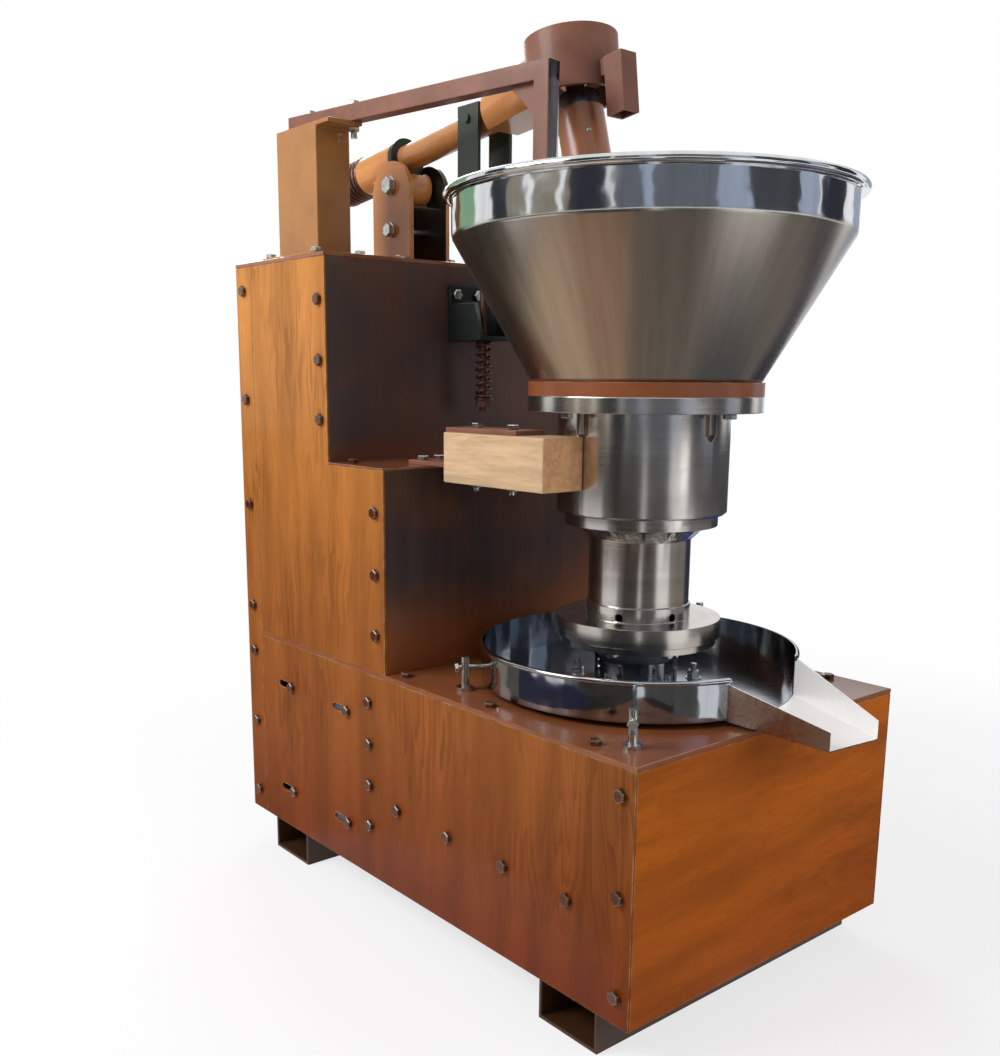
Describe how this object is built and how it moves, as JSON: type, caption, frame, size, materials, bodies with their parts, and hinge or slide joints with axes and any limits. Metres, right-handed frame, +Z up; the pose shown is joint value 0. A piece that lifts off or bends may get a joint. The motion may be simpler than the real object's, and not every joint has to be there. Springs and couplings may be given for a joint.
{
  "type": "oil mill",
  "caption": "Rotary oil mill with a turning mortar and flared hopper, a leaning wooden pestle on a sprung press arm, an oil tray with a spout and a stepped drive cabinet.",
  "frame": {"origin": "middle of the footprint of the whole machine, on the floor under its two foot channels", "axes": "+Z up, -Y towards the spout and hopper at the front, +X to the right of a person facing the spout's side from the front"},
  "size_m": [0.6719, 1.3674, 1.5579],
  "materials": {
    "wood_grain_paint": "gloss",
    "brown_paint": "gloss",
    "dark_brown_paint": "gloss",
    "arm_paint": "gloss",
    "cup_paint": "gloss",
    "green_paint": "satin",
    "spring_paint": "satin",
    "drive_paint": "satin",
    "polished_steel": "polished",
    "machined_steel": "machined",
    "zinc_plate": "zinc plated",
    "bare_steel": "machined",
    "grey_iron": "cast",
    "bronze": "machined",
    "turned_wood": "turned and oiled",
    "pale_timber": "sawn",
    "coupling_rubber": "matt"
  },
  "bodies": {
    "cabinet": {"foot_channels": "dark_brown_paint", "frame": "dark_brown_paint", "floor_plate": "dark_brown_paint", "side_panel_left_lower": "wood_grain_paint", "side_panel_left_upper": "wood_grain_paint", "side_panel_right_lower": "wood_grain_paint", "side_panel_right_upper": "wood_grain_paint", "front_panel": "wood_grain_paint", "step_front_panel": "dark_brown_paint", "column_front_panel": "dark_brown_paint", "deck_plate": "brown_paint", "step_top_panel": "brown_paint", "column_top_plate": "brown_paint", "rear_cover": "wood_grain_paint", "bulkhead": "dark_brown_paint", "bed_plate": "dark_brown_paint", "gearbox_housing": "drive_paint", "gearbox_cover": "drive_paint", "cabinet_bolts": "brown_paint", "motor_housing": "drive_paint", "spindle_bearings": "bare_steel", "spindle_housing": "grey_iron", "oil_tray": "polished_steel", "oil_spout": "polished_steel", "tray_stays": "zinc_plate", "arm_bracket": "arm_paint", "arm_bracket_bolts": "zinc_plate", "rod_spring": "zinc_plate", "rod_bracket": "green_paint", "scraper_post": "arm_paint", "scraper_arm": "cup_paint", "scraper_blade": "machined_steel", "guide_block": "pale_timber", "guide_block_bracket": "arm_paint", "bracket_bolts": "zinc_plate"},
    "mortar": {"mortar_neck": "machined_steel", "mortar_drum": "machined_steel", "mortar_liner": "turned_wood", "drum_flange": "machined_steel", "hopper_ring": "arm_paint", "mortar_bolts": "zinc_plate", "hopper": "polished_steel", "spindle": "machined_steel", "worm_wheel": "bronze"},
    "worm": {"worm_shaft": "bare_steel", "coupling_hubs": "grey_iron", "coupling_spider": "coupling_rubber", "motor_rotor": "bare_steel"},
    "cradle": {"arm_cradle": "arm_paint", "tail_spring": "spring_paint"},
    "arm": {"press_arm": "arm_paint", "arm_stop_collar": "green_paint", "tail_nut": "spring_paint", "arm_cup": "cup_paint"},
    "swivel": {"cup_swivel": "bronze"},
    "pestle": {"pestle": "turned_wood", "pestle_ferrule": "bare_steel"},
    "yoke": {"yoke": "green_paint", "tie_rod": "zinc_plate"}
  },
  "joints": [
    {"name": "worm_spin", "type": "hinge", "parent": "cabinet", "child": "worm", "pos_m": [-0.184, -0.24802, 0.258], "axis": [0, 1, 0], "continuous": true},
    {"name": "mortar_spin", "type": "hinge", "parent": "cabinet", "child": "mortar", "pos_m": [0, -0.24802, 0.258], "axis": [0, 0, 1], "continuous": true},
    {"name": "arm_pivot", "type": "hinge", "parent": "cabinet", "child": "cradle", "pos_m": [0, 0.41198, 1.367], "axis": [-1, 0, 0], "range_deg": [0, 6], "deforming": ["rod_spring"]},
    {"name": "arm_slide", "type": "slide", "parent": "cradle", "child": "arm", "axis": [0, -0.9925, 0.1219], "range_m": [0, 0.012], "deforming": ["tail_spring"]},
    {"name": "yoke_swing", "type": "hinge", "parent": "cradle", "child": "yoke", "pos_m": [0, 0.17398, 1.45641], "axis": [-1, 0, 0], "range_deg": [-4.8, 0]},
    {"name": "pestle_swing", "type": "hinge", "parent": "arm", "child": "swivel", "pos_m": [0, -0.05889, 1.5], "axis": [-1, 0, 0], "range_deg": [-5, 0]},
    {"name": "pestle_spin", "type": "hinge", "parent": "swivel", "child": "pestle", "pos_m": [0, -0.05889, 1.5], "axis": [0, 0.2588, 0.9659], "continuous": true}
  ],
  "couplings": [
    {"joint": "mortar_spin", "follows": "worm_spin", "ratio": 0.02},
    {"joint": "yoke_swing", "follows": "arm_pivot", "ratio": -0.765},
    {"joint": "pestle_swing", "follows": "arm_pivot", "ratio": -0.785}
  ]
}
